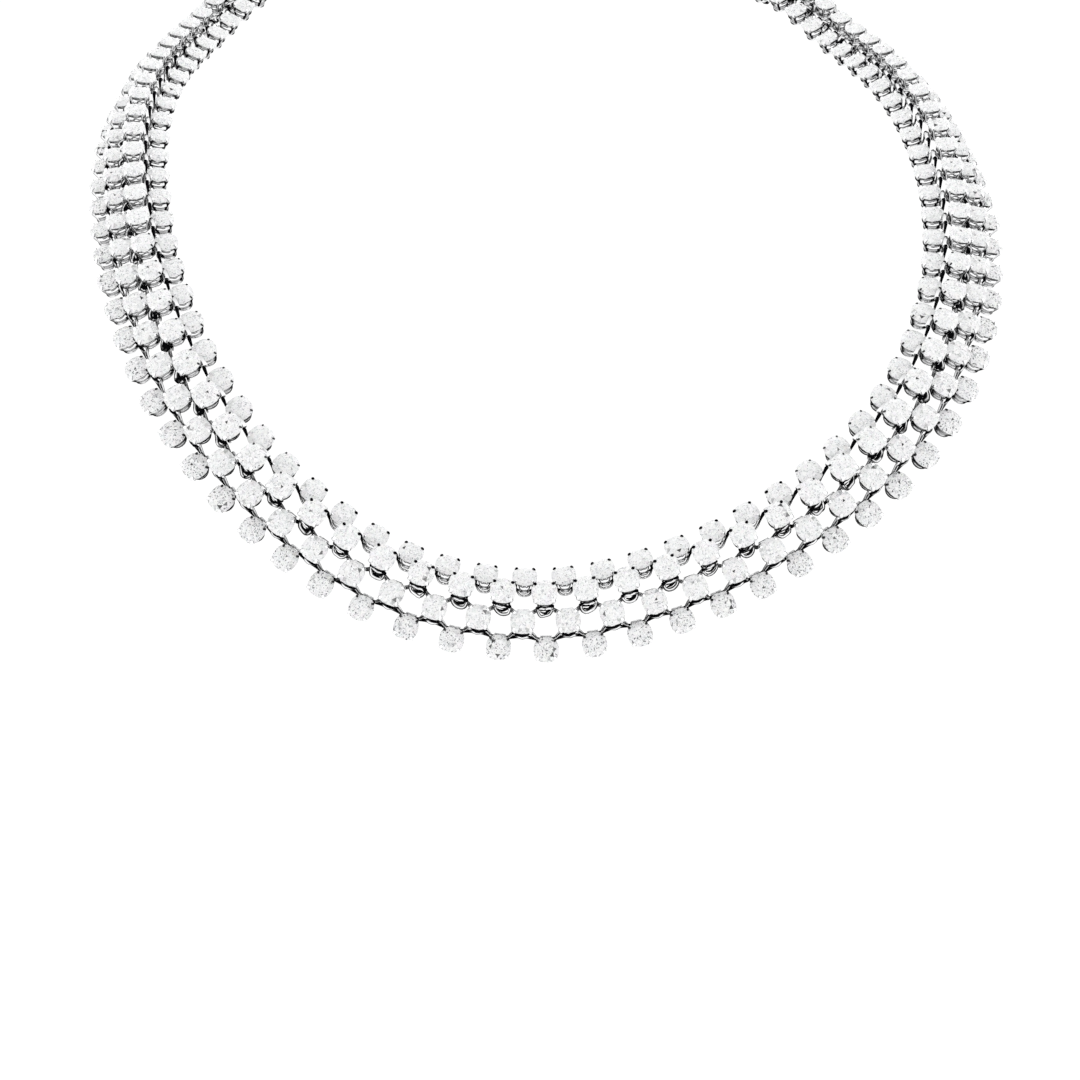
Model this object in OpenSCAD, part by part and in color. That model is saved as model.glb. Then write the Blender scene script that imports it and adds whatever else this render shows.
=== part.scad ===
// Four-row riviere necklace: claw-set round stones in staggered rows, in the form that it has when worn.
// The loop lies in a plane that drops towards the front. The origin is the middle of the nape on row 1.

/* [Stones] */
// Diameter of each round stone
stone_d = 3.0; // [2.6:0.1:3.4]
// Diameter of the table, the flat top facet
table_d = 1.7; // [1.2:0.1:2.2]
// Height of the crown above the girdle
crown_h = 0.45; // [0.3:0.05:0.6]
// Depth of the pavilion below the girdle
pavilion_h = 1.3; // [1.0:0.1:1.5]

/* [Settings] */
// Diameter of a claw's wire
claw_d = 0.45; // [0.35:0.05:0.5]
// How far a claw's tip stands above the girdle
claw_rise = 0.3; // [0.2:0.05:0.4]
// Depth of the basket below the girdle
basket_h = 2.2; // [1.9:0.1:2.6]
// How far the claws lean in from tip to foot
claw_lean = 0.6; // [0.5:0.05:0.7]
// Height of the foot rail
rail_h = 0.45; // [0.3:0.05:0.5]
// Wall of the foot rail, which holds the whole foot of a claw
rail_wall = 0.6; // [0.55:0.05:0.7]

/* [Bows and hinges] */
// Thickness of a bow's wire
bow_d = 0.32; // [0.25:0.01:0.36]
// Length of the straight bar below a stone
bar_l = 1.4; // [1.2:0.1:1.8]
// Play between a bow's pin and the bore that it lies in, all round
pin_play = 0.12; // [0.1:0.01:0.15]
// Length of each pin inside its bore
pin_l = 0.5; // [0.4:0.05:0.6]
// Wall of a hinge barrel around its bore
barrel_wall = 0.13; // [0.1:0.01:0.18]
// Length of a hinge barrel
barrel_l = 1.4; // [1.3:0.1:1.6]

/* [Collar] */
// Links in each row, all the way round
links_round = 86; // [84:2:90]
// Links that are modelled in each row, on each side of the front
links_side = 29; // [26:1:31]
// Gap between two stones of row 1
link_gap = 1.7; // [1.5:0.1:2.2]
// Gap between the stones of rows 1 and 2, measured across the collar
gap_12 = 1.0; // [1.0:0.1:1.4]
// Gap between the stones of rows 2 and 3, measured across the collar
gap_23 = 0.5; // [0.4:0.1:1.0]
// Gap between the stones of rows 3 and 4, measured across the collar
gap_34 = 0.6; // [0.4:0.1:1.0]
// How far row 2 slides back along the sides against row 1
slide_12 = 0.3; // [-0.4:0.05:0.4]
// How far row 3 slides back along the sides against row 2
slide_23 = -0.3; // [-0.4:0.05:0.4]
// How far row 4 slides back along the sides against row 3
slide_34 = -0.3; // [-0.4:0.05:0.4]
// Slope of the loop's plane, down towards the front, in degrees
loop_tilt = 24; // [10:1:35]

/* [Back] */
// Thickness of the band that stands for the rows behind the neck
band_t = 2.4; // [2.0:0.1:3.0]
// Length of the clasp along row 1
clasp_l = 12; // [8:1:16]
// Thickness of the clasp
clasp_t = 3.2; // [3.0:0.1:4.5]
// Clearance between the last links, the band and the clasp
back_gap = 0.3; // [0.2:0.05:0.5]

/* [Hidden] */
$fn = 24;

metal = [0.86, 0.87, 0.89];
gem = [0.95, 0.96, 0.98];

// Row 1 seen from above, in the loop's own plane: front, right side, nape, left side. The third number is
// the height off that plane, highest at the sides. The true length comes from the links.
route = [
    [-6, -143.5, 2], [10.5, -142, 5], [25.5, -136, 9.5], [37.5, -126, 14.5], [45, -111.5, 18.5], [48.5, -95, 20],
    [49, -78, 20], [47, -61.5, 18.5], [43, -45.5, 15.5], [36.8, -30.8, 14.8], [27.5, -17.8, 10.4], [15.5, -6, 3.8],
    [0, 0, 0], [-16.5, -1.5, 2.8], [-30, -11.2, 9], [-40.2, -23.6, 13], [-47, -37.5, 14], [-51.5, -53.5, 17.5],
    [-53.5, -70, 20], [-53, -87, 20.5], [-50.5, -103.5, 19], [-45, -119, 15], [-35.5, -131.5, 9], [-22, -140, 3.5]
];
route_steps = 12;

// How the rows fall away from each other, in degrees below the outward direction, so a negative one rises.
// Columns: share of the way from the front to the nape, row 1 to 2, row 2 to 3, row 3 to 4
falls = [
    [0.00, -16, 50, 67],
    [0.14, -23, 53, 68],
    [0.28, -36, 42, 54],
    [0.42, -41, 38, 53],
    [0.56, -36, 44, 60],
    [0.70, -19, 45, 61],
    [1.00, -17, 45, 61]
];
// How far the stones of each row are turned out of the loop's plane, in degrees. Columns: share of the way,
// rows 1 to 4
faces = [
    [0.00, 2, 26, 32, 38],
    [0.07, 4, 26, 32, 38],
    [0.14, 12, 23, 29, 34],
    [0.22, 20, 20, 24, 27],
    [0.28, 12, 16, 19, 22],
    [0.35, 2, 9, 12, 15],
    [0.44, -10, -1, 4, 12],
    [0.56, -21, -7, 6, 18],
    [0.68, -18, -7, 14, 26],
    [0.80, -8, 14, 53, 61],
    [1.00, -6, 14, 53, 61]
];
// Bow pins bend at a small ball, thicker than the wire by this factor, and the arm is thinner by the other
ball_factor = 1.4;
arm_factor = 0.75;
// The barrel stands this much above the foot rail's underside, and the bar is twice this lower than the rail
step_in = 0.02;
// Half the stretch of the row, in links, that gives its direction at a stone
chord = 0.2;
// Depth by which touching metal runs into its neighbour, so that the two are one piece
bite = 0.12;
// How far the band and the clasp stand out past the stones' girdles
back_crown = 0.3;
// Room beside the clasp for the bend of the loop there
clasp_room = 0.6;
// How far a bore runs past the metal at each end
cut_past = 0.5;

pitch = stone_d + link_gap;
half_links = links_round / 2;
stone_r = stone_d / 2;
gaps = [gap_12, gap_23, gap_34];
slides = [slide_12, slide_23, slide_34];
claw_foot_r = stone_r - claw_lean;
foot_z = -basket_h + rail_h / 2;
foot_outer_r = claw_foot_r + rail_wall / 2;
bore_d = bow_d + 2 * pin_play;
barrel_side = bore_d + 2 * barrel_wall;
barrel_y = foot_outer_r + barrel_wall - bite + bore_d / 2;
barrel_z = -basket_h + barrel_side / 2 + step_in;
bar_y = -foot_outer_r;
ball_d = bow_d * ball_factor;

function unit(v) = v / norm(v);
function total(list, k = 0) = k >= len(list) ? [0, 0, 0] : list[k] + total(list, k + 1);

// The closed smooth curve through the route's points, and the length reached at each of its own points
function bend(a, b, c, d, t) =
    0.5 * (2 * b + (c - a) * t + (2 * a - 5 * b + 4 * c - d) * t * t + (3 * b - a - 3 * c + d) * t * t * t);
route_n = len(route);
curve = [
    for (k = [0 : route_n * route_steps])
        let (p = floor(k / route_steps), t = k / route_steps - p)
        bend(route[(p + route_n - 1) % route_n], route[p % route_n], route[(p + 1) % route_n],
             route[(p + 2) % route_n], t)
];
curve_last = len(curve) - 1;
reach = [
    for (k = 0, s = 0; k <= curve_last; s = s + (k < curve_last ? norm(curve[k + 1] - curve[k]) : 0), k = k + 1) s
];
route_scale = links_round * pitch / reach[curve_last];
tables = [for (axis = [0 : 2]) [for (k = [0 : curve_last]) [reach[k], curve[k][axis]]]];

// A point of row 1 and the directions there, by its place counted in links from the front
function seat(i) =
    let (s = ((i + links_round) % links_round) * pitch / route_scale)
    [for (axis = [0 : 2]) lookup(s, tables[axis])] * route_scale;
function along(i) = unit(seat(i + chord) - seat(i - chord));
function outward(i) = unit(cross(along(i), [0, 0, 1]));
function rise(i) = cross(outward(i), along(i));
function share(i) = abs(i) / half_links;
function fall(i, step) = lookup(share(i), [for (f = falls) [f[0], f[step]]]);

// The middle of a stone's girdle, by its row and its place
function stone_at(row, i) =
    seat(i) + (row == 1 ? [0, 0, 0] : total([
        for (m = [1 : row - 1])
            (stone_d + gaps[m - 1]) * (outward(i) * cos(fall(i, m)) - rise(i) * sin(fall(i, m)))
            + along(i) * slides[m - 1] * sin(180 * share(i)) * sign(i)
    ]));
// How far a stone is turned out, and the directions that follow from it
function face(row, i) = lookup(share(i), [for (f = faces) [f[0], f[row]]]);
function facing(row, i) = rise(i) * cos(face(row, i)) + outward(i) * sin(face(row, i));
function upward(row, i) = cross(facing(row, i), along(i));
// A point given from a stone's middle: along the row, up the collar, out of the table
function by_stone(row, i, p) = stone_at(row, i) + along(i) * p[0] + upward(row, i) * p[1] + facing(row, i) * p[2];

// Places in a row: rows 1 and 3 stand at half links, rows 2 and 4 at whole ones
function last_place(row) = row % 2 == 1 ? links_side - 0.5 : links_side;

module rod(a, b, d) {
    v = b - a;
    translate(a) rotate([0, acos(v[2] / norm(v)), atan2(v[1], v[0])]) cylinder(h = norm(v), d = d);
}

// Places what is drawn at the origin at p, with its axes along x, y and z
module at_frame(x, y, z, p) {
    multmatrix([
        [x[0], y[0], z[0], p[0]],
        [x[1], y[1], z[1], p[1]],
        [x[2], y[2], z[2], p[2]],
        [0, 0, 0, 1]
    ]) children();
}

module on_stone(row, i) {
    at_frame(along(i), upward(row, i), facing(row, i), stone_at(row, i)) children();
}

// A round cut with a table, eight crown facets and eight pavilion facets
module stone() {
    table_r = table_d / 2;
    turns = [for (k = [0 : 7]) 22.5 + 45 * k];
    points = concat(
        [for (a = turns) [table_r * cos(a), table_r * sin(a), crown_h]],
        [for (a = turns) [stone_r * cos(a), stone_r * sin(a), 0]],
        [[0, 0, -pavilion_h]]
    );
    polyhedron(points, concat(
        [[for (k = [7 : -1 : 0]) k]],
        [for (k = [0 : 7]) [k, (k + 1) % 8, 8 + (k + 1) % 8, 8 + k]],
        [for (k = [0 : 7]) [8 + (k + 1) % 8, 16, 8 + k]]
    ));
}

// The ring at the foot of the basket that joins the four claws
module foot_rail() {
    translate([0, 0, foot_z]) difference() {
        cylinder(h = rail_h, r = foot_outer_r, center = true);
        cylinder(h = rail_h + 2 * cut_past, r = foot_outer_r - rail_wall, center = true);
    }
}

module claws() {
    for (turn = [45 : 90 : 315])
        rotate([0, 0, turn]) rod([claw_foot_r, 0, foot_z], [stone_r, 0, claw_rise], claw_d);
}

// The hinge barrel at the top of a collet, which holds a pin of each of the two bows above it
module barrel() {
    translate([0, barrel_y, barrel_z]) difference() {
        cube([barrel_l, barrel_side, barrel_side], center = true);
        rotate([0, 90, 0]) cylinder(h = barrel_l + 2 * cut_past, d = bore_d, center = true);
    }
}

// The bow's straight bar, soldered to the foot rail
module bar() {
    translate([0, bar_y, foot_z]) cube([bar_l, bow_d, rail_h - 2 * step_in], center = true);
}

// The ball in which two wires meet, with its poles and its seam turned away from both
module bend_ball(at, a_end, b_end) {
    a = unit(a_end - at);
    b = unit(b_end - at);
    x = -unit(a + b);
    z = unit(cross(a, b));
    at_frame(x, cross(z, x), z, at) sphere(d = ball_d);
}

// One arm of a bow: from the bar to a ball, and from there a pin into the barrel of the next row's link
module arm(row, i, side) {
    j = i + side / 2;
    mouth = by_stone(row + 1, j, [-side * barrel_l / 2, barrel_y, barrel_z]);
    ball = mouth - along(j) * side * (pin_play + ball_d / 2);
    root = by_stone(row, i, [side * (bar_l / 2 - bow_d / 2), bar_y, foot_z]);
    tip = mouth + along(j) * side * pin_l;
    rod(root, ball, bow_d * arm_factor);
    rod(ball, tip, bow_d);
    bend_ball(ball, root, tip);
}

module link(row, i) {
    union() {
        on_stone(row, i) {
            color(gem) stone();
            color(metal) {
                claws();
                foot_rail();
                if (row > 1) barrel();
                if (row < 4) bar();
            }
        }
        if (row < 4)
            for (side = [-1, 1])
                if (abs(i + side / 2) <= last_place(row + 1)) color(metal) arm(row, i, side);
    }
}

module stone_row(row) {
    rotate([loop_tilt, 0, 0]) for (i = [-last_place(row) : 1 : last_place(row)]) link(row, i);
}

// The arched outline across all four rows: the outer side from row 1 to row 4, then the inner side back
function arch(places, out, in) = concat(
    [by_stone(1, places[0], [0, stone_r, out])],
    [for (row = [1 : 4]) by_stone(row, places[row - 1], [0, 0, out])],
    [by_stone(4, places[3], [0, -stone_r, out])],
    [by_stone(4, places[3], [0, -stone_r, -in])],
    [for (row = [4 : -1 : 1]) by_stone(row, places[row - 1], [0, 0, -in])],
    [by_stone(1, places[0], [0, stone_r, -in])]
);

// One closed band from the last links of a side to the clasp
module back_rows(side) {
    stations = 8;
    n = 12;
    first = [for (row = [1 : 4]) (last_place(row) + links_side) / 2 + (stone_r + claw_d + back_gap) / pitch];
    last = half_links - (clasp_l / 2 + back_gap + clasp_room) / pitch;
    points = [
        for (k = [0 : stations])
            each arch([for (f = first) side * (f + (last - f) * k / stations)], back_crown, band_t - back_crown)
    ];
    flip = side > 0;
    faces = concat(
        [for (k = [0 : stations - 1], m = [0 : n - 1])
            let (a = k * n + m, b = k * n + (m + 1) % n)
            flip ? [a, b, b + n, a + n] : [a, a + n, b + n, b]],
        [flip ? [for (m = [n - 1 : -1 : 0]) m] : [for (m = [0 : n - 1]) m]],
        [flip ? [for (m = [0 : n - 1]) stations * n + m] : [for (m = [n - 1 : -1 : 0]) stations * n + m]]
    );
    rotate([loop_tilt, 0, 0]) color(metal) polyhedron(points, faces);
}

// The plain clasp at the nape, one closed piece over all four rows
module clasp() {
    mid = half_links;
    more = (clasp_t - band_t) / 2;
    outline = [
        for (p = arch([mid, mid, mid, mid], back_crown + more, band_t - back_crown + more))
            [(p - seat(mid)) * outward(mid), (p - seat(mid)) * rise(mid)]
    ];
    rotate([loop_tilt, 0, 0]) at_frame(outward(mid), rise(mid), cross(outward(mid), rise(mid)), seat(mid))
        color(metal) linear_extrude(clasp_l, center = true) polygon(outline);
}

module row_1() { stone_row(1); }
module row_2() { stone_row(2); }
module row_3() { stone_row(3); }
module row_4() { stone_row(4); }
module back_rows_left() { back_rows(-1); }
module back_rows_right() { back_rows(1); }

row_1();
row_2();
row_3();
row_4();
back_rows_left();
back_rows_right();
clasp();
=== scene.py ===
import math
import bmesh
import bpy
import numpy as np
from mathutils import Matrix, Vector


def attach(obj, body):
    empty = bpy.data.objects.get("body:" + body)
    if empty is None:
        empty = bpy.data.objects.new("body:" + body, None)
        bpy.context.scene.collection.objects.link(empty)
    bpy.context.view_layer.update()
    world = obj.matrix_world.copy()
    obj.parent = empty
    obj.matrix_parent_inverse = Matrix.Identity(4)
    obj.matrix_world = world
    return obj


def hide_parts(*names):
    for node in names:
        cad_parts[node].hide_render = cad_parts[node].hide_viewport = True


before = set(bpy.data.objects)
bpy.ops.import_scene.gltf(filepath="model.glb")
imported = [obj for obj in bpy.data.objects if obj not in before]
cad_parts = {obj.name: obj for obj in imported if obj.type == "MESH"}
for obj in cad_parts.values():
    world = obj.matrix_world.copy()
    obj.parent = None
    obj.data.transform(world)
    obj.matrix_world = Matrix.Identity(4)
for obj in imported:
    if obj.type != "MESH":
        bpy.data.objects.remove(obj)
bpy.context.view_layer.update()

mm = 0.001
scene = bpy.context.scene

# Where the photo was taken from, found from where its stones stand, in millimetres and degrees
viewpoint = {
    "target": (-2.85, -80.34, -70.54),
    "distance": 323.79,
    "azimuth": -4.016,
    "elevation": 20.0,
    "roll": -0.693,
    "lens": 74.91,
    "sensor": 36,
    "nearest": 10,  # nothing nearer to the lens than this is drawn
}


def placeCamera(view):
    az, el, roll = (math.radians(view[k]) for k in ("azimuth", "elevation", "roll"))
    back = Vector((math.sin(az) * math.cos(el), -math.cos(az) * math.cos(el), math.sin(el)))
    level = Vector((math.cos(az), math.sin(az), 0))
    top = level.cross(-back)
    right = level * math.cos(roll) + top * math.sin(roll)
    up = top * math.cos(roll) - level * math.sin(roll)
    data = bpy.data.cameras.new("photoCamera")
    data.sensor_width = view["sensor"]
    data.lens = view["lens"]
    data.clip_start = view["nearest"] * mm
    camera = bpy.data.objects.new("photoCamera", data)
    place = (Vector(view["target"]) + back * view["distance"]) * mm
    turn = Matrix((right, up, back)).transposed().to_4x4()
    camera.matrix_world = Matrix.Translation(place) @ turn
    scene.collection.objects.link(camera)
    scene.camera = camera


placeCamera(viewpoint)
print("camera placed")

# The collar's own plan, as the solids have it, in millimetres and degrees
collar = {
    "linksRound": 86,  # links in each row, all the way round
    "linksSide": 29,  # the last place of the front rows on each side, counted from the front
    "linksToClasp": 41,  # and the last place behind the neck
    "linkGap": 1.7,
    "rowGaps": (1.0, 0.5, 0.6),
    "slides": (0.3, -0.3, -0.3),  # how far each next row is shifted towards the nape, at the sides
    "tilt": 24,
    "claspLength": 12,
    "routeSteps": 12,  # points of the curve between two points of the route
    "lookAhead": 0.2,  # how many links before and after a place tell the way along its row
    # row 1 seen from above: front, right side, nape, left side
    "route": [
        (-6, -143.5, 2), (10.5, -142, 5), (25.5, -136, 9.5), (37.5, -126, 14.5), (45, -111.5, 18.5),
        (48.5, -95, 20), (49, -78, 20), (47, -61.5, 18.5), (43, -45.5, 15.5), (36.8, -30.8, 14.8),
        (27.5, -17.8, 10.4), (15.5, -6, 3.8), (0, 0, 0), (-16.5, -1.5, 2.8), (-30, -11.2, 9),
        (-40.2, -23.6, 13), (-47, -37.5, 14), (-51.5, -53.5, 17.5), (-53.5, -70, 20), (-53, -87, 20.5),
        (-50.5, -103.5, 19), (-45, -119, 15), (-35.5, -131.5, 9), (-22, -140, 3.5),
    ],
    # share of the way to the nape, and how far it falls from row 1 to 2, 2 to 3 and 3 to 4
    "falls": [
        (0.00, -16, 50, 67), (0.14, -23, 53, 68), (0.28, -36, 42, 54), (0.42, -41, 38, 53),
        (0.56, -36, 44, 60), (0.70, -19, 45, 61), (1.00, -17, 45, 61),
    ],
    # share of the way to the nape, and how far the stones of rows 1 to 4 are turned out
    "faces": [
        (0.00, 2, 26, 32, 38), (0.07, 4, 26, 32, 38), (0.14, 12, 23, 29, 34), (0.22, 20, 20, 24, 27),
        (0.28, 12, 16, 19, 22), (0.35, 2, 9, 12, 15), (0.44, -10, -1, 4, 12), (0.56, -21, -7, 6, 18),
        (0.68, -18, -7, 14, 26), (0.80, -8, 14, 53, 61), (1.00, -6, 14, 53, 61),
    ],
}

stoneCut = {
    "diameter": 3.0,
    "oversize": 1.01,  # a hair wider than in the solids
    "corners": 0.09,  # how much further out it reaches at the four claws, as a share
    "table": 1.7,
    "innerStar": 0.5,  # the star inside the table, as a share of the table
    "crown": 0.45,
    "starHeight": 0.60,  # as a share of the crown
    "girdle": 0.05,
    "pavilion": 1.3,
    "waist": (0.28, 0.74),  # where the pavilion's facets meet, as shares of the radius and of the depth
    "kinds": 12,  # how many different stones each row has
    # Below, the facets' painted reflection: the share that show a painted dark sparkle, the darks' range and
    # how often, and how far each facet's painted brightness strays
    "sparkle": (0.02, 0.03, 0.07, 0.12),  # the share of the facets that show something dark, in rows 1 to 4
    "darks": {"deep": (0.0, 0.25, 0.5), "pale": (0.55, 0.8, 0.8)},  # from, to, and how often times sparkle
    "uneven": 0.03,  # how far the brightness of the facets strays, and below how far their colour does
    "tint": 0.010,
}

pitch = stoneCut["diameter"] + collar["linkGap"]
halfLinks = collar["linksRound"] / 2


def unit(v):
    return v / np.linalg.norm(v, axis=-1, keepdims=True)


def smoothCurve(points, steps, closed=False):
    p = np.array(points, float)
    if not closed:
        p = np.vstack([2 * p[0] - p[1], p, 2 * p[-1] - p[-2]])
    n = len(p)
    t = (np.arange(steps) / steps)[:, None]
    spans = range(n) if closed else range(1, n - 2)
    out = []
    for k in spans:
        a, b, c, d = (p[(k + j) % n] for j in (-1, 0, 1, 2))
        square, cube = 2 * a - 5 * b + 4 * c - d, 3 * b - a - 3 * c + d
        out.append(0.5 * (2 * b + (c - a) * t + square * t**2 + cube * t**3))
    return np.vstack(out + [p[:1] if closed else p[-2:-1]])


track = smoothCurve(collar["route"], collar["routeSteps"], closed=True)
trackReach = np.concatenate([[0], np.cumsum(np.linalg.norm(np.diff(track, axis=0), axis=1))])
trackScale = collar["linksRound"] * pitch / trackReach[-1]
fallTable = np.array(collar["falls"], float)
faceTable = np.array(collar["faces"], float)


def seat(i):  # the point of row 1 that is i links from the front
    s = (i % collar["linksRound"]) * pitch / trackScale
    return np.array([np.interp(s, trackReach, track[:, k]) for k in range(3)]) * trackScale


def slopeAt(table, i, column):
    return math.radians(np.interp(abs(i) / halfLinks, table[:, 0], table[:, column]))


def placeOf(row, i):  # a stone's middle, and the ways along its row, up the collar and out of its table
    along = unit(seat(i + collar["lookAhead"]) - seat(i - collar["lookAhead"]))
    outward = unit(np.cross(along, (0, 0, 1)))
    rise = np.cross(outward, along)
    middle = seat(i)
    for step, (gap, slide) in enumerate(zip(collar["rowGaps"], collar["slides"]), 1):
        if step < row:
            slope = slopeAt(fallTable, i, step)
            down = outward * math.cos(slope) - rise * math.sin(slope)
            middle = middle + (stoneCut["diameter"] + gap) * down
            middle = middle + along * slide * math.sin(math.pi * abs(i) / halfLinks) * np.sign(i)
    face = slopeAt(faceTable, i, row)
    facing = rise * math.cos(face) + outward * math.sin(face)
    return middle, np.array([along, np.cross(facing, along), facing])


def spot(row, i, p):  # a point given from a stone's middle
    middle, axes = placeOf(row, i)
    return middle + np.array(p) @ axes


def lastOf(row, links):  # rows 1 and 3 stand at half links
    return links - (0.5 if row % 2 else 0.0)


def hasLink(row, i):
    return abs(i) <= lastOf(row, collar["linksToClasp"])


tiltTurn = math.radians(collar["tilt"])
tiltAxes = np.array([
    (1, 0, 0),
    (0, math.cos(tiltTurn), math.sin(tiltTurn)),
    (0, -math.sin(tiltTurn), math.cos(tiltTurn)),
])
# Painted reflection of the polished wire: it is painted white where it looks this way or out of the collar,
# and on its inner side, and painted black between these.
paintedReflection = {
    "from": (0, -0.94, 0.342),
    "outward": 0.9,
    "inner": 0.8,
    "innerFrom": 0.25,  # how far back the inner side starts, and below how soon it is white
    "innerSoft": 0.35,
    "sharpest": 0.01,
}
front = tiltAxes @ np.array(paintedReflection["from"])
stoneKind, metalKind = 0, 1  # also the order of a piece's materials


# Loose triangles of one shape. Stone has a colour for each corner. Metal, until it is placed, has the shade
# of its painted reflection there, and the two glances between which it turns from black to that shade: its
# edges.
class Shape:
    def __init__(self):
        self.points, self.normals, self.triangles, self.kinds, self.tones = [], [], [], [], []
        self.count = 0

    def add(self, points, normals, triangles, kinds, tones):
        self.points.append(points)
        self.normals.append(normals)
        self.triangles.append(triangles + self.count)
        self.kinds.append(kinds)
        self.tones.append(tones)
        self.count += len(points)

    def addMetal(self, part, shade, edges):
        points, normals, triangles = part
        tones = [np.broadcast_to(np.asarray(t, float), len(points))[triangles] for t in (shade, *edges)]
        self.add(points, normals, triangles, np.full(len(triangles), metalKind), np.stack(tones, 2))

    def addWire(self, path, radii, sides, shade, edges):  # shade and edges may change from point to point
        each = [np.broadcast_to(np.asarray(t, float), len(path)) for t in (shade, *edges)]
        shade, *edges = (np.repeat(np.pad(t, 2, "edge"), sides) for t in each)  # also on the two end rings
        self.addMetal(sweep(path, radii, sides), shade, edges)

    def packed(self):
        parts = (self.points, self.normals, self.triangles, self.kinds, self.tones)
        return [np.concatenate(part) for part in parts]

    def place(self, other, middle, axes, facing):
        points, normals, triangles, kinds, tones = other
        normals = normals @ axes
        # the metal's painted reflection: its shade where it looks to the front or out of the collar, black
        # between, and painted bright on its inner side
        glance = np.maximum(normals @ front, paintedReflection["outward"] * (normals @ facing))[triangles]
        shade, low, high = (tones[:, :, k] for k in range(3))
        t = np.clip((glance - low) / np.maximum(high - low, paintedReflection["sharpest"]), 0, 1)
        behind = np.minimum(-normals @ facing - paintedReflection["innerFrom"], -normals @ front)[triangles]
        inner = np.clip(behind / paintedReflection["innerSoft"], 0, 1)
        metal = np.maximum(shade * t * t * (3 - 2 * t), paintedReflection["inner"] * inner)[:, :, None]
        tones = np.where((kinds == metalKind)[:, None, None], np.repeat(metal, 3, 2), tones)
        self.add(points @ axes + middle, normals, triangles, kinds, tones)


def gridFaces(rows, columns, closed):
    # the triangles between rings of points; a closed grid's sections run the other way round
    here = np.arange(rows if closed else rows - 1)[:, None]
    ahead = (here + 1) % rows * columns
    across = np.arange(columns)
    beside = (across + 1) % columns
    here = here * columns
    cells = np.stack([here + across, here + beside, ahead + beside, ahead + across], -1).reshape(-1, 4)
    if closed:
        cells = cells[:, [0, 3, 2, 1]]
    return np.vstack([cells[:, [0, 1, 2]], cells[:, [0, 2, 3]]])


# The two rings that round off a wire's end: how far out, how wide, and how much they look along the wire,
# which sets their painted reflection
wireEnd = {"out": (0.35, 0.5), "wide": (0.8, 0.45), "lean": (0.8, 2)}


def sweep(path, radii, sides):
    # a closed wire along a path, with its ends rounded off
    path = np.asarray(path, float)
    radii = np.broadcast_to(np.asarray(radii, float), len(path))
    caps = []
    for at, inner, r in ((path[0], path[1], radii[0]), (path[-1], path[-2], radii[-1])):
        caps.append([at + unit(at - inner) * r * out for out in wireEnd["out"]])
    path = np.vstack([caps[0][::-1], path, caps[1]])
    wide = np.array(wireEnd["wide"])
    radii = np.concatenate([radii[0] * wide[::-1], radii, radii[-1] * wide])
    tangents = unit(np.gradient(path, axis=0))
    side = np.cross(tangents[0], (0, 0, 1) if abs(tangents[0][2]) < 0.9 else (1, 0, 0))
    turns = 2 * math.pi * np.arange(sides) / sides
    n = len(path)
    lean = np.zeros(n)
    lean[-2:] = wireEnd["lean"]
    lean[:2] = -lean[:-3:-1]
    points, normals = [], []
    for at, tangent, r, ahead in zip(path, tangents, radii, lean):
        side = unit(side - tangent * (side @ tangent))
        other = np.cross(tangent, side)
        ring = np.cos(turns)[:, None] * side + np.sin(turns)[:, None] * other
        points.append(at + ring * r)
        normals.append(unit(ring + tangent * ahead))
    fan = np.arange(1, sides - 1)
    start = np.stack([0 * fan, fan + 1, fan], 1)
    end = np.stack([0 * fan, fan, fan + 1], 1) + (n - 1) * sides
    return np.vstack(points), np.vstack(normals), np.vstack([gridFaces(n, sides, False), start, end])


def hoop(radius, z, section, segments, looks=None):
    # a closed ring with any section, given as steps out and up from its middle line; looks are its normals
    section = np.asarray(section, float)
    looks = unit(section - section.mean(axis=0)) if looks is None else np.asarray(looks, float)
    turns = 2 * math.pi * np.arange(segments) / segments
    out = np.stack([np.cos(turns), np.sin(turns), 0 * turns], 1)[:, None, :]
    up = np.array((0, 0, 1))
    points = out * (radius + section[:, :1]) + up * (z + section[:, 1:])
    normals = out * looks[:, :1] + up * looks[:, 1:]
    return points.reshape(-1, 3), normals.reshape(-1, 3), gridFaces(segments, len(section), True)


def stoneRing(cut, radius, z, count, shift=0):
    turns = 2 * math.pi * (np.arange(count) + shift) / count
    reach = radius * (cut["oversize"] + cut["corners"] * (1 - np.cos(4 * turns)) / 2)
    return np.stack([reach * np.cos(turns), reach * np.sin(turns), z + 0 * turns], 1)


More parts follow.
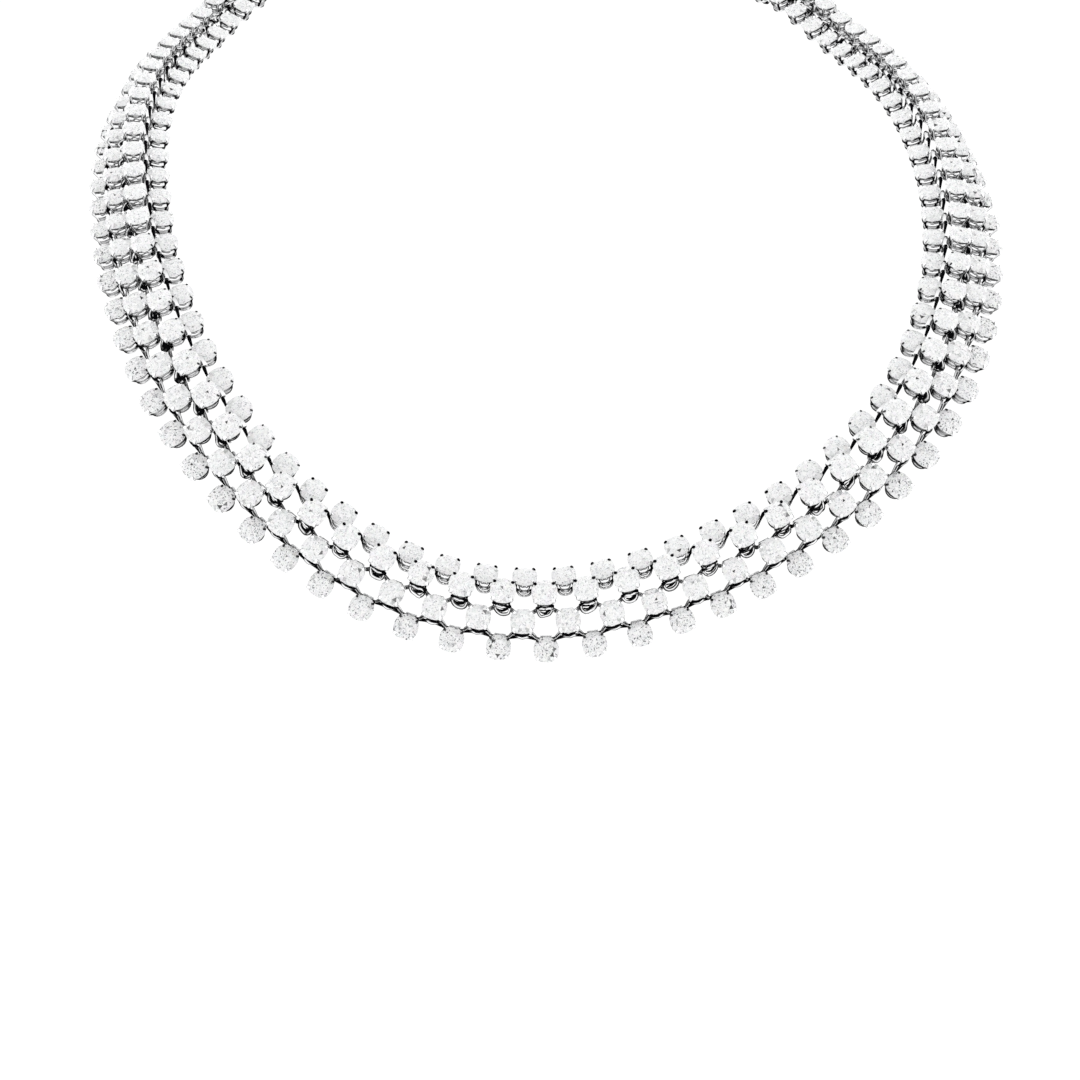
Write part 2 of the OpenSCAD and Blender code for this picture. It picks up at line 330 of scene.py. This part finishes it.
def brilliant(cut, rng, sparkle):
    # table with its inner star, star, kite and girdle facets, and the pavilion down to its point
    r, tableR = cut["diameter"] / 2, cut["table"] / 2
    waistR, waistZ = cut["waist"]
    points = np.vstack([
        [(0, 0, cut["crown"])],
        stoneRing(cut, tableR * cut["innerStar"], cut["crown"], 8),
        stoneRing(cut, tableR, cut["crown"], 8, 0.5),
        stoneRing(cut, (tableR + r) / 2, cut["crown"] * cut["starHeight"], 8),
        stoneRing(cut, r, cut["girdle"] / 2, 16),
        stoneRing(cut, r, -cut["girdle"] / 2, 16),
        stoneRing(cut, r * waistR, -cut["pavilion"] * waistZ, 8),
        [(0, 0, -cut["pavilion"])],
    ])
    # where each ring starts
    centre, inner, table, star, upper, lower, waist, culet = 0, 1, 9, 17, 25, 41, 57, 65
    k = np.arange(8)
    after, before = (k + 1) % 8, (k - 1) % 8
    even, odd, oddBefore = 2 * k, 2 * k + 1, (2 * k - 1) % 16
    j = np.arange(16)
    jAfter = (j + 1) % 16
    # each facet's brightness is painted reflection: the crown's near white with painted dark sparkles, the
    # pavilion's painted dark and the girdle's grey
    facets = [  # three corners, how bright each facet and each next one is, and what dark they may show
        (centre, inner + k, inner + after, 0.97, 0.90, "deep"),
        (inner + k, table + k, inner + after, 0.92, 0.98, "pale"),
        (table + before, table + k, inner + k, 0.98, 0.93, "pale"),
        (table + before, star + k, table + k, 0.90, 0.94, "deep"),
        (table + k, star + k, upper + odd, 0.96, 0.99, "pale"),
        (table + k, upper + odd, star + after, 0.96, 0.99, "pale"),
        (star + k, upper + oddBefore, upper + even, 0.88, 0.94, "pale"),
        (star + k, upper + even, upper + odd, 0.97, 0.92, "pale"),
        (waist + k, lower + even, lower + oddBefore, 0.3, 0.1, None),
        (waist + k, lower + odd, lower + even, 0.1, 0.3, None),
        (lower + odd, waist + k, culet, 0.25, 0.1, None),
        (lower + odd, culet, waist + after, 0.1, 0.2, None),
        (upper + j, lower + j, lower + jAfter, 0.7, 0.8, "pale"),
        (upper + j, lower + jAfter, upper + jAfter, 0.7, 0.8, "pale"),
    ]
    triangles, tones = [], []
    for *corners, one, other, dark in facets:
        faces = np.stack(np.broadcast_arrays(*corners), 1)
        n = len(faces)
        tone = np.where(np.arange(n) % 2, other, one) + rng.normal(0, cut["uneven"], n)
        if dark:
            least, most, share = cut["darks"][dark]
            darker = rng.uniform(least, most, n)
            tone = np.where(rng.random(n) < sparkle * share, darker, tone)
        tint = 1 + rng.normal(0, cut["tint"], (n, 3))
        triangles.append(faces)
        tones.append(np.clip(tone[:, None] * tint, 0, 1))
    tones = np.vstack(tones)
    return points, np.vstack(triangles), np.repeat(tones[:, None, :], 3, axis=1)


setting = {
    "footZ": -1.97,
    "clawFoot": 0.92,  # how far out the claws stand at the foot, and below at the girdle
    "clawTop": 1.5,
    # a claw's points: how far out from its foot or top, how high, and how thick, or what share of its tip's
    "claw": [
        ("clawFoot", 0, -1.97, 0.34, 0),
        ("clawFoot", 0.22, -1.2, 0.36, 0),
        ("clawTop", -0.04, -0.3, 0, 0.85),
        ("clawTop", 0.02, 0.06, 0, 1),
        ("clawTop", -0.1, 0.27, 0, 0.9),
    ],
    "clawTurns": (45, 135, 225, 315),
    "clawSides": 8,
    "shaft": 3,  # how many of its points belong to the shaft
    # the glances between which the painted reflection of shaft and tip turns from black
    "shaftEdges": (0.35, 0.6),
    "tipEdges": (-0.3, 0.15),
    # the rails round the collet in the front of row 1, and in the others: height, width, depth and the shade
    # of their painted reflection
    "rails": (
        ((-0.58, 0.20, 0.84, 1.0), (-1.82, 0.42, 0.44, 1.0)),
        ((-0.75, 0.20, 0.50, 1.0), (-1.97, 0.50, 0.44, 0.9)),
    ),
    "railIn": 0.03,  # how far they stand inside the claws
    "railBevel": 0.25,  # as a share of the thinner way through
    "railSides": 20,
    "railEdges": (0.32, 0.52),
    # a black band inside the collet, between the rails: painted shadow
    "shadowSleeve": [(0.03, -0.45), (0.08, 0.45), (0.02, 0.45), (-0.03, -0.45)],  # its section, out and up
    "shadowSleeveRadius": 1.0,
    "shadowSleeveZ": -1.38,
    "shadowSleeveSides": 16,
    "barrelOut": 0.82,
    "barrelBore": 0.56,
    "barrelLength": 1.4,
    "barrelY": 1.49,
    "barrelZ": -1.77,
    "barrelBevel": (0.06, 0.05),
    "barrelSides": 12,
    "barrelEdges": (-0.3, 0.35),
    "block": [(-0.45, 1.0, -1.95), (0, 1.08, -1.95), (0.45, 1.0, -1.95)],  # it holds the barrel
    "blockRadius": 0.2,
    "blockSides": 6,
}
# The shade of the claw tips' painted reflection, from black to white, and their thickness: near the front,
# beside it, and further round or in rows 3 and 4; then those at the top of row 4, and those at the bottom of
# rows 1 and 2 that aren't far
tips = {"near": (0.0, 0.40), "side": (0.06, 0.25), "far": (1.0, 0.52), "lastRow": (0.04, 0.32)}
lowerTips = {1: (1.0, 0.34), 2: (1.0, 0.54)}
zoneEnds = {"near": 7, "far": 15}  # how many places from the front these end and start
# painted black wherever it looks to the front
plainBlack = (0.0, (0, 1))  # a shade and its edges


def tipOf(row, zone, upper):
    if row == 4 and upper:
        return tips["lastRow"]
    return tips[zone] if upper or zone == "far" else lowerTips[row]


def band(width, height, bevel):  # the section of a rail with its edges broken
    w, h, c = width / 2, height / 2, min(width, height) * bevel
    right, left = [(w, -h + c), (w, h - c), (w - c, h)], [(-w, h - c), (-w, -h + c), (-w + c, -h)]
    return right + [(-w + c, h)] + left + [(w - c, -h)]


# rail normals used only for the painted reflection:
bandLooks = [(1, 0), (1, 0), (0, -1), (0, -1), (-1, 0), (-1, 0), (0, -1), (0, -1)]  # dark along both edges


def addClaws(shape, parts, row, zone):
    for turn in np.radians(parts["clawTurns"]):
        out = np.array([math.cos(turn), math.sin(turn), 0])
        shade, tip = tipOf(row, zone, out[1] > 0)
        path = [out * (parts[start] + more) + (0, 0, z) for start, more, z, _, _ in parts["claw"]]
        thick = np.array([own + tip * share for *_, own, share in parts["claw"]])
        isTip = np.arange(len(path)) >= parts["shaft"]
        # the shafts' painted reflection is black in row 1 and below a dark tip, else white
        shaftShade = 0.0 if row == 1 or shade < 0.5 else 1.0
        edges = [np.where(isTip, *pair) for pair in zip(parts["tipEdges"], parts["shaftEdges"])]
        shape.addWire(path, thick / 2, parts["clawSides"], np.where(isTip, shade, shaftShade), edges)


def addBarrel(shape, parts):
    outer, inner, half = parts["barrelOut"] / 2, parts["barrelBore"] / 2, parts["barrelLength"] / 2
    short, thin = half - parts["barrelBevel"][0], outer - parts["barrelBevel"][1]
    section = [(outer, -short), (outer, short), (thin, half), (inner, half), (inner, -half), (thin, -half)]
    points, normals, triangles = hoop(0, 0, section, parts["barrelSides"])
    lie = np.array([(0, 1, 0), (0, 0, 1), (1, 0, 0)], float)  # its axis lies along the row
    points = points @ lie + (0, parts["barrelY"], parts["barrelZ"])
    # the barrel is painted white with black edges, and the block beside it painted black
    shape.addMetal((points, normals @ lie, triangles), 1.0, parts["barrelEdges"])
    shape.addWire(parts["block"], parts["blockRadius"], parts["blockSides"], *plainBlack)


def basket(parts, row, zone):
    # the claws, the two rails with the shadow between them, and from row 2 on the hinge barrel
    shape = Shape()
    addClaws(shape, parts, row, zone)
    for z, width, height, shade in parts["rails"][0 if row == 1 and zone == "near" else 1]:
        radius = np.interp(z, (parts["footZ"], 0), (parts["clawFoot"], parts["clawTop"])) - parts["railIn"]
        rail = hoop(radius, z, band(width, height, parts["railBevel"]), parts["railSides"], bandLooks)
        shape.addMetal(rail, shade, parts["railEdges"])
    # the black sleeve: painted shadow inside the collet
    shadowSleeve = hoop(parts["shadowSleeveRadius"], parts["shadowSleeveZ"], parts["shadowSleeve"], parts["shadowSleeveSides"])
    shape.addMetal(shadowSleeve, *plainBlack)
    if row > 1:
        addBarrel(shape, parts)
    return shape.packed()


# The bow below each stone. Where there are three values, they are for rows 1, 2 and 3.
bow = {
    "arms": (0.26, 0.54, 0.40),
    "bars": (0.34, 0.30, 0.44),
    # the shade of the arms' painted reflection, black in row 1
    "armShades": (0.0, 1.0, 0.3),
    "edges": ((0.4, 0.7), (0.50, 0.70), (0.70, 0.88)),
    "hang": ((0.05, 0.0), (0.05, 0.1), (0.22, 0.15)),  # how far below and behind the foot rail
    "pins": (0.32, 0.34, 0.48),  # how thick at the pin's end, at the barrel's mouth and at the ball
    "ball": 0.448,
    "pin": 0.5,
    "play": 0.12,
    "barY": -1.2,
    "barLength": 1.4,
    "barShort": 0.16,  # how far inside the bar's ends the arms start
    "sag": (-0.12, -0.02),  # of its middle, down and back
    "steps": 3,
    "sides": 8,
}
# The strut of row 3 from the collet's corner to the ball
strut = {
    "foot": (0.9, -0.9, 0.4),  # along and up from the stone's middle, and out from the foot of its claws
    "arch": 0.12,
    "radii": (0.25, 0.25, 0.24, 0.21, 0.18),
    "steps": 2,
    "sides": 10,
    # the glances between which its painted reflection turns from black to white
    "edges": (0.25, 0.5),
}

# Wires below the collets of rows 2 and 3: for each, the steps between its points, its sides, its thickness
# from end to end, its shade, and its points, taken from the stone's middle. The first ones hang in front,
# and the last stand behind the foot rail. Those of shade 0 are partly wire and partly painted shadow, black
# in the hollow below the collet; the white one's black edges are painted reflection.
trims = {
    2: [
        (2, 8, (0.50, 0.22, 0.17, 0.22, 0.50), 0.0,
         [(-0.98, -1.15, -1.9), (-0.5, -1.24, -1.66), (0, -1.30, -1.62), (0.5, -1.24, -1.66),
          (0.98, -1.15, -1.9)]),
        (2, 8, (0.32, 0.42, 0.38), 0.0, [(-0.72, -1.25, -2.1), (0, -1.37, -2.25), (0.72, -1.25, -2.1)]),
        (2, 8, (0.16, 0.34, 0.40), 0.0, [(-0.60, -1.55, -2.3), (0, -1.72, -2.5), (0.60, -1.42, -2.3)]),
        (2, 8, (0.40, 0.44, 0.50, 0.52, 0.50, 0.44, 0.40), 1.0,
         [(-0.92, -1.2, -2.15), (-0.86, -1.62, -2.42), (-0.52, -1.92, -2.60), (0, -2.02, -2.66),
          (0.52, -1.92, -2.60), (0.86, -1.62, -2.42), (0.92, -1.2, -2.15)]),
        (1, 6, (0.30, 0.30, 0.30, 0.30), 0.0,
         [(-0.86, -0.72, -2.1), (-0.84, -0.75, -2.95), (0.84, -0.75, -2.95), (0.86, -0.72, -2.1)]),
        (1, 6, (0.34, 0.22), 0.0, [(-0.25, -0.9, -2.1), (-0.30, -0.75, -2.95)]),
        (1, 6, (0.34, 0.22), 0.0, [(0.25, -0.9, -2.1), (0.30, -0.75, -2.95)]),
    ],
    3: [
        (2, 8, (0.26, 0.38, 0.42, 0.38, 0.26), 0.0,
         [(-1.15, -0.92, -1.72), (-0.7, -1.2, -1.76), (0, -1.38, -1.80), (0.7, -1.2, -1.76),
          (1.15, -0.92, -1.72)]),
        (1, 6, (0.30, 0.34, 0.30, 0.34, 0.30), 0.0,
         [(-0.92, -0.72, -2.1), (-0.48, -0.78, -2.95), (0, -0.72, -2.3), (0.48, -0.78, -2.95),
          (0.92, -0.72, -2.1)]),
    ],
}
bending = {
    "uneven": (0.03, 0.06, 0.06),  # bent by hand: how far their points stray along, up and out
    "lean": 0.16,  # how much they rise away from the front
    "thick": (0.75, 1.05),  # the thinnest and the thickest against the thickness given
    "edges": (0.76, 0.90),
    # where they swell they are thicker, and show more of their painted black
    "swellThick": 0.4,
    "swellEdges": (0.12, 0.07),
    "rise": (-1, 6),  # a slope's height at the front, and in how many places it gains 1
    "fall": (3.6, 4),  # the other slope's height there, and in how many places it loses 1
}


def swellAt(i, how):  # most at 10 places from the front, and none within 6 or beyond 14
    (low, gain), (high, loss) = how["rise"], how["fall"]
    return min(max(abs(i) / gain + low, 0), 1) * min(max(high - abs(i) / loss, 0), 1)


def addTrims(shape, row, i, how, rng):
    swell = swellAt(i, how)
    lean = how["lean"] if i > -1 else -how["lean"]
    edges = [edge + more * swell for edge, more in zip(how["edges"], how["swellEdges"])]
    for steps, sides, thick, shade, points in trims.get(row, []):
        points = np.array(points) + rng.normal(0, how["uneven"], (len(points), 3))
        points[:, 1] += lean * points[:, 0]
        path = smoothCurve([spot(row, i, p) for p in points], steps)
        radii = np.interp(np.linspace(0, 1, len(path)), np.linspace(0, 1, len(thick)), thick) / 2
        radii = radii * rng.uniform(*how["thick"]) * (1 + how["swellThick"] * swell)
        shape.addWire(path, radii, sides, shade, edges)


def addStrut(shape, row, i, side, ball, facing):
    out, y, z = strut["foot"]
    foot = spot(row, i, (side * out, y, setting["footZ"] + z))
    path = smoothCurve([foot, (foot + ball) / 2 + facing * strut["arch"], ball], strut["steps"])
    shape.addWire(path, strut["radii"], strut["sides"], 1.0, strut["edges"])


def bowOf(parts, row, i, rng):
    # from pin to pin: through the barrel, round the ball, up the arm, along the bar and back down
    shape = Shape()
    arm, bar, armShade = (parts[k][row - 1] for k in ("arms", "bars", "armShades"))
    low, back = parts["hang"][row - 1]
    y, z = parts["barY"] - low, setting["footZ"] - back
    half = parts["barLength"] / 2 - parts["barShort"]
    facing = placeOf(row, i)[1][2]
    ends = []  # each side's points, with how thick and how bright the wire is there
    for side in (-1, 1):
        j = i + side / 2
        root = spot(row, i, (side * half, y, z))
        if not hasLink(row + 1, j):
            ends.append([(root, bar, 1.0)])
            continue
        inwards = placeOf(row + 1, j)[1][0] * side
        barrelEnd = -side * setting["barrelLength"] / 2
        mouth = spot(row + 1, j, (barrelEnd, setting["barrelY"], setting["barrelZ"]))
        ball = mouth - inwards * (parts["play"] + parts["ball"] / 2)
        pin = mouth + inwards * parts["pin"]
        # pin, mouth and ball are painted black
        wire = [(point, thick, 0.0) for point, thick in zip((pin, mouth, ball), parts["pins"])]
        ends.append(wire + [((ball + root) / 2, arm, armShade), (root, (arm + bar) / 2, 1.0)])
        if row == 3:
            addStrut(shape, row, i, side, ball, facing)
    middle = spot(row, i, (0, y + parts["sag"][0], z + parts["sag"][1]))
    knots, thick, shades = zip(*ends[0], (middle, bar, 1.0), *ends[1][::-1])
    path = smoothCurve(knots, parts["steps"])
    along, at = np.linspace(0, 1, len(path)), np.linspace(0, 1, len(knots))
    radii, shades = np.interp(along, at, thick) / 2, np.interp(along, at, shades)
    shape.addWire(path, radii, parts["sides"], shades, parts["edges"][row - 1])
    addTrims(shape, row, i, bending, rng)
    return shape.packed(), facing


# The links look widest to the left and right of the front, and those of row 2 near the front a little wider
girths = {"most": 0.07, "at": 10, "spread": 4, "rowTwo": 1.03, "rowTwoTo": 12}


def girth(row, i):
    wider = girths["rowTwo"] if row == 2 and abs(i) < girths["rowTwoTo"] else 1
    return wider + girths["most"] * math.exp(-(((abs(i) - girths["at"]) / girths["spread"]) ** 2))


def zoneOf(row, i):
    if row > 2 or abs(i) > zoneEnds["far"]:
        return "far"
    return "near" if abs(i) < zoneEnds["near"] else "side"


def addLinks(shape, row, places, rng):
    for i in places:
        middle, axes = placeOf(row, i)
        turn = rng.integers(4) * math.pi / 2
        c, s = math.cos(turn), math.sin(turn)
        spin = np.array([(c, s, 0), (-s, c, 0), (0, 0, 1)])
        wide = axes * [[girth(row, i)], [girth(row, i)], [1]]
        shape.place(cuts[row][rng.integers(len(cuts[row]))], middle, spin @ wide, axes[2])
        shape.place(baskets[row, zoneOf(row, i)], middle, wide, axes[2])
        if row < 4:
            wire, facing = bowOf(bow, row, i, rng)
            shape.place(wire, np.zeros(3), np.eye(3), facing)


def makePiece(name, shape, materials, node):
    points, _, triangles, kinds, tones = shape.packed()
    points = points @ tiltAxes * mm
    mesh = bpy.data.meshes.new(name)
    mesh.vertices.add(len(points))
    mesh.vertices.foreach_set("co", points.astype(np.float32).ravel())
    mesh.loops.add(len(triangles) * 3)
    mesh.loops.foreach_set("vertex_index", triangles.astype(np.int32).ravel())
    mesh.polygons.add(len(triangles))
    mesh.polygons.foreach_set("loop_start", np.arange(len(triangles), dtype=np.int32) * 3)
    mesh.polygons.foreach_set("material_index", kinds.astype(np.int32))
    mesh.polygons.foreach_set("use_smooth", kinds == metalKind)
    mesh.update(calc_edges=True)
    # the corners' tone: the painted reflection of metal and of stone facets
    tone = mesh.color_attributes.new(name="tone", type="FLOAT_COLOR", domain="CORNER")
    colours = np.ones((len(triangles) * 3, 4), np.float32)
    colours[:, :3] = tones.reshape(-1, 3)
    tone.data.foreach_set("color", colours.ravel())
    for material in materials:
        mesh.materials.append(material)
    piece = bpy.data.objects.new(name, mesh)
    scene.collection.objects.link(piece)
    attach(piece, "root")
    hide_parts(node)
    print(name, len(triangles), "triangles")


# A socket that can be added and multiplied, so that shader maths reads as plain sums
class Term:
    def __init__(self, finish, socket):
        self.finish, self.socket = finish, socket

    def maths(self, operation, other):
        return self.finish.node("ShaderNodeMath", {"operation": operation}, {0: self, 1: other})

    def __add__(self, other):
        return self.maths("ADD", other)

    def __mul__(self, other):
        return self.maths("MULTIPLY", other)

    __radd__ = __add__
    __rmul__ = __mul__


# A material's node tree: node() makes any node from its type, its settings and what goes into its sockets
class Finish:
    def __init__(self, name):
        self.material = bpy.data.materials.new(name)
        self.material.use_nodes = True
        self.tree = self.material.node_tree
        self.shader = self.tree.nodes["Principled BSDF"]
        self.where = self.node("ShaderNodeTexCoord", output=3)

    def node(self, kind, settings=None, inputs=None, output=0):
        made = self.tree.nodes.new(kind)
        for key, value in (settings or {}).items():
            if key == "stops":
                stops = made.color_ramp.elements
                while len(stops) < len(value):
                    stops.new(0.5)
                for stop, (at, colour) in zip(stops, value):
                    stop.position, stop.color = at, colour
            else:
                setattr(made, key, value)
        for key, value in (inputs or {}).items():
            self.feed(made.inputs[key], value)
        return Term(self, made.outputs[output])

    def feed(self, socket, value):
        if isinstance(value, Term):
            self.tree.links.new(value.socket, socket)
        else:
            socket.default_value = value

    def set(self, **inputs):
        for key, value in inputs.items():
            self.feed(self.shader.inputs[key.replace("_", " ")], value)
        return self.material

    def mix(self, factor, first, second, blend="MIX"):
        settings = {"data_type": "RGBA", "blend_type": blend}
        return self.node("ShaderNodeMix", settings, {0: factor, 6: first, 7: second}, 2)

    def noise(self, scale, detail=2.0, distortion=0.0, output=0):
        inputs = {"Vector": self.where, "Scale": scale, "Detail": detail, "Distortion": distortion}
        return self.node("ShaderNodeTexNoise", None, inputs, output)

    # the painted reflection on the metal and the painted facet brightness on the stones
    def tone(self):  # what the mesh code has painted on the corners
        return self.node("ShaderNodeVertexColor", {"layer_name": "tone"})

    def ramp(self, stops, along):
        return self.node("ShaderNodeValToRGB", {"stops": stops}, {0: along})

    def bump(self, strength, depth, height):
        inputs = {"Strength": strength, "Distance": depth, "Height": height}
        return self.node("ShaderNodeBump", None, inputs)


# The metal's colours: its painted reflection, from black to white as the tone painted on the mesh says
metalLook = {
    "black": (0.004, 0.004, 0.005, 1),
    "white": (0.965, 0.967, 0.975, 1),
    "mirror": 3.0,  # from a third of the tone upwards it is all metal, and the black wire reflects nothing
    "clouds": 900.0,
    "roughness": (0.06, 0.12),  # least, and how much the clouds add
    "lines": 6000.0,  # the fine polishing lines
    "lineStrength": 0.08,
    "lineDepth": 0.00001,
}


def paintedReflectionMetal(look):
    finish = Finish("paintedReflectionMetal")
    tone = finish.tone()
    least, more = look["roughness"]
    return finish.set(
        Base_Color=finish.mix(tone, look["black"], look["white"]),
        Metallic=tone * look["mirror"],
        Roughness=least + finish.noise(look["clouds"]) * more,
        Normal=finish.bump(look["lineStrength"], look["lineDepth"], finish.noise(look["lines"], 1.0)),
        Specular_IOR_Level=0.0,
    )


# The stones' colour is painted light: grey streaks and dark specks of painted reflection, a little painted
# fire, and a painted glow
stoneLook = {
    "streaks": (3000.0, 2.0, 1.8),  # scale, detail and distortion
    "streakStops": [(0.35, (0.60, 0.61, 0.625, 1)), (0.45, (0.93, 0.935, 0.94, 1)), (0.58, (1, 1, 1, 1))],
    "specks": (4600.0, 1.0),  # scale and detail
    "speckColour": (0.14, 0.14, 0.15, 1),
    "speckEdge": 0.05,
    "speckShares": {"clearStone": 0.26, "liveliestStone": 0.335},  # up to which value of the noise
    "fireScale": 700.0,
    "fire": 0.04,
    # the stones' painted glow:
    "body": (0.46, 0.46, 0.46, 1),  # how much of the colour is lit, and below how much glows by itself
    "glow": 0.47,
    "roughness": 0.05,
    "ior": 1.6,
}


def clearStone(name, look):
    finish = Finish(name)
    share = look["speckShares"][name]
    streaks = finish.ramp(look["streakStops"], finish.noise(*look["streaks"]))
    speckStops = [(share, look["speckColour"]), (share + look["speckEdge"], (1, 1, 1, 1))]
    specks = finish.ramp(speckStops, finish.noise(*look["specks"]))
    body = finish.mix(1.0, finish.mix(1.0, finish.tone(), streaks, "MULTIPLY"), specks, "MULTIPLY")
    colour = finish.mix(look["fire"], body, finish.noise(look["fireScale"], output=1), "OVERLAY")
    return finish.set(
        Base_Color=finish.mix(1.0, colour, look["body"], "MULTIPLY"),
        Emission_Color=colour,
        Emission_Strength=look["glow"],
        Roughness=look["roughness"],
        IOR=look["ior"],
    )


metal = paintedReflectionMetal(metalLook)
stone, liveliestStone = (clearStone(name, stoneLook) for name in stoneLook["speckShares"])
print("materials made")

rng = np.random.default_rng(7)
cuts, baskets = {}, {}
for row, sparkle in enumerate(stoneCut["sparkle"], 1):
    cuts[row] = []
    for _ in range(stoneCut["kinds"]):
        points, triangles, tones = brilliant(stoneCut, rng, sparkle)
        cuts[row].append((points, points * 0, triangles, np.full(len(triangles), stoneKind), tones))
    for zone in ("near", "side", "far") if row < 3 else ("far",):
        baskets[row, zone] = basket(setting, row, zone)
print("stones and collets made")

# The wires that hold the last links to the clasp
endWires = {
    "heights": (-0.3, 0.3),
    "start": (0.95, -1.9),  # on the link, along and out
    "inside": 0.5,  # how far they reach into the clasp
    "depth": -0.8,
    "arch": 0.1,
    "radius": 0.24,
    "steps": 3,
    "sides": 8,
    # the glances between which their painted reflection turns from black to white
    "edges": (0.3, 0.7),
}


def addEndWires(shape, row, last, side, wires):
    facing = placeOf(row, last)[1][2]
    out, back = wires["start"]
    for height in wires["heights"]:
        start = spot(row, last, (side * out, height, back))
        claspEnd = -side * (collar["claspLength"] / 2 - wires["inside"])
        end = spot(row, side * halfLinks, (claspEnd, height, wires["depth"]))
        wire = Shape()
        path = smoothCurve([start, (start + end) / 2 + facing * wires["arch"], end], wires["steps"])
        wire.addWire(path, wires["radius"], wires["sides"], 1.0, wires["edges"])
        shape.place(wire.packed(), np.zeros(3), np.eye(3), facing)


for row in (1, 2, 3, 4):
    shape = Shape()
    last = lastOf(row, collar["linksSide"])
    addLinks(shape, row, np.arange(-last, last + 1), rng)
    materials = (liveliestStone if row == 4 else stone, metal)
    makePiece("row%dLinks" % row, shape, materials, "row_%d" % row)
for side, word in ((-1, "left"), (1, "right")):
    shape = Shape()
    for row in (1, 2, 3, 4):
        first, last = (lastOf(row, collar[k]) + 1 for k in ("linksSide", "linksToClasp"))
        places = side * np.arange(first, last)
        addLinks(shape, row, places, rng)
        addEndWires(shape, row, places[-1], side, endWires)
    makePiece("backLinks" + word.title(), shape, (stone, metal), "back_rows_" + word)

# The hidden clasp: the same plain body with its edges rounded off, in millimetres and degrees
claspEdge = {"round": 0.5, "steps": 3, "sharpFrom": 25, "merge": 0.002, "flat": 2, "shadeTo": 20}
claspLook = {
    "dull": (0.42, 0.425, 0.44, 1),
    "bright": (0.70, 0.705, 0.72, 1),
    "wear": (260.0, 4.0),  # scale and detail
    "brush": 1500.0,
    "roughness": (0.16, 0.2),  # least, and how much the brushing adds
    "brushStrength": 0.1,
    "brushDepth": 0.00002,
}


def claspMetal(look):
    finish = Finish("claspMetal")
    brush = finish.noise(look["brush"])
    least, more = look["roughness"]
    return finish.set(
        Base_Color=finish.mix(finish.noise(*look["wear"]), look["dull"], look["bright"]),
        Metallic=1.0,
        Roughness=least + brush * more,
        Normal=finish.bump(look["brushStrength"], look["brushDepth"], brush),
    )


def makeClasp(edge, material):
    work = bmesh.new()
    work.from_mesh(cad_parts["clasp"].data)
    bmesh.ops.remove_doubles(work, verts=work.verts, dist=edge["merge"] * mm)
    flat, sharpFrom = math.radians(edge["flat"]), math.radians(edge["sharpFrom"])
    bmesh.ops.dissolve_limit(work, angle_limit=flat, verts=work.verts, edges=work.edges)
    sharp = [e for e in work.edges if e.is_manifold and e.calc_face_angle() > sharpFrom]
    rounding = {"offset": edge["round"] * mm, "segments": edge["steps"], "profile": 0.5, "affect": "EDGES"}
    bmesh.ops.bevel(work, geom=sharp, **rounding)
    for face in work.faces:
        face.smooth = True
    mesh = bpy.data.meshes.new("claspBody")
    work.to_mesh(mesh)
    work.free()
    mesh.set_sharp_from_angle(angle=math.radians(edge["shadeTo"]))
    mesh.materials.append(material)
    piece = bpy.data.objects.new("claspBody", mesh)
    scene.collection.objects.link(piece)
    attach(piece, "root")
    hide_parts("clasp")
    print("claspBody", len(mesh.polygons), "faces")


makeClasp(claspEdge, claspMetal(claspLook))

# The floor, and soft light from all round. Lengths in metres.
studio = {
    "floorZ": -0.25,
    "floorSize": 8.0,
    "floorColour": (0.93, 0.93, 0.93, 1),
    "grain": 40.0,
    "roughness": (0.55, 0.1),  # least, and how much the grain adds
    "skyColour": (1, 1, 1, 1),
    "sky": 1.14,
}


def makeStudio(s):
    finish = Finish("paleFloor")
    least, more = s["roughness"]
    finish.set(Base_Color=s["floorColour"], Roughness=least + finish.noise(s["grain"]) * more)
    mesh = bpy.data.meshes.new("floor")
    half = s["floorSize"] / 2
    corners = [(-half, -half, 0), (half, -half, 0), (half, half, 0), (-half, half, 0)]
    mesh.from_pydata(corners, [], [(0, 1, 2, 3)])
    mesh.materials.append(finish.material)
    floor = bpy.data.objects.new("floor", mesh)
    floor.location.z = s["floorZ"]
    scene.collection.objects.link(floor)
    world = bpy.data.worlds.new("studio")
    world.use_nodes = True
    background = world.node_tree.nodes["Background"]
    background.inputs["Color"].default_value = s["skyColour"]
    background.inputs["Strength"].default_value = s["sky"]
    scene.world = world
    scene.view_settings.view_transform = "Standard"


makeStudio(studio)
print("studio made")
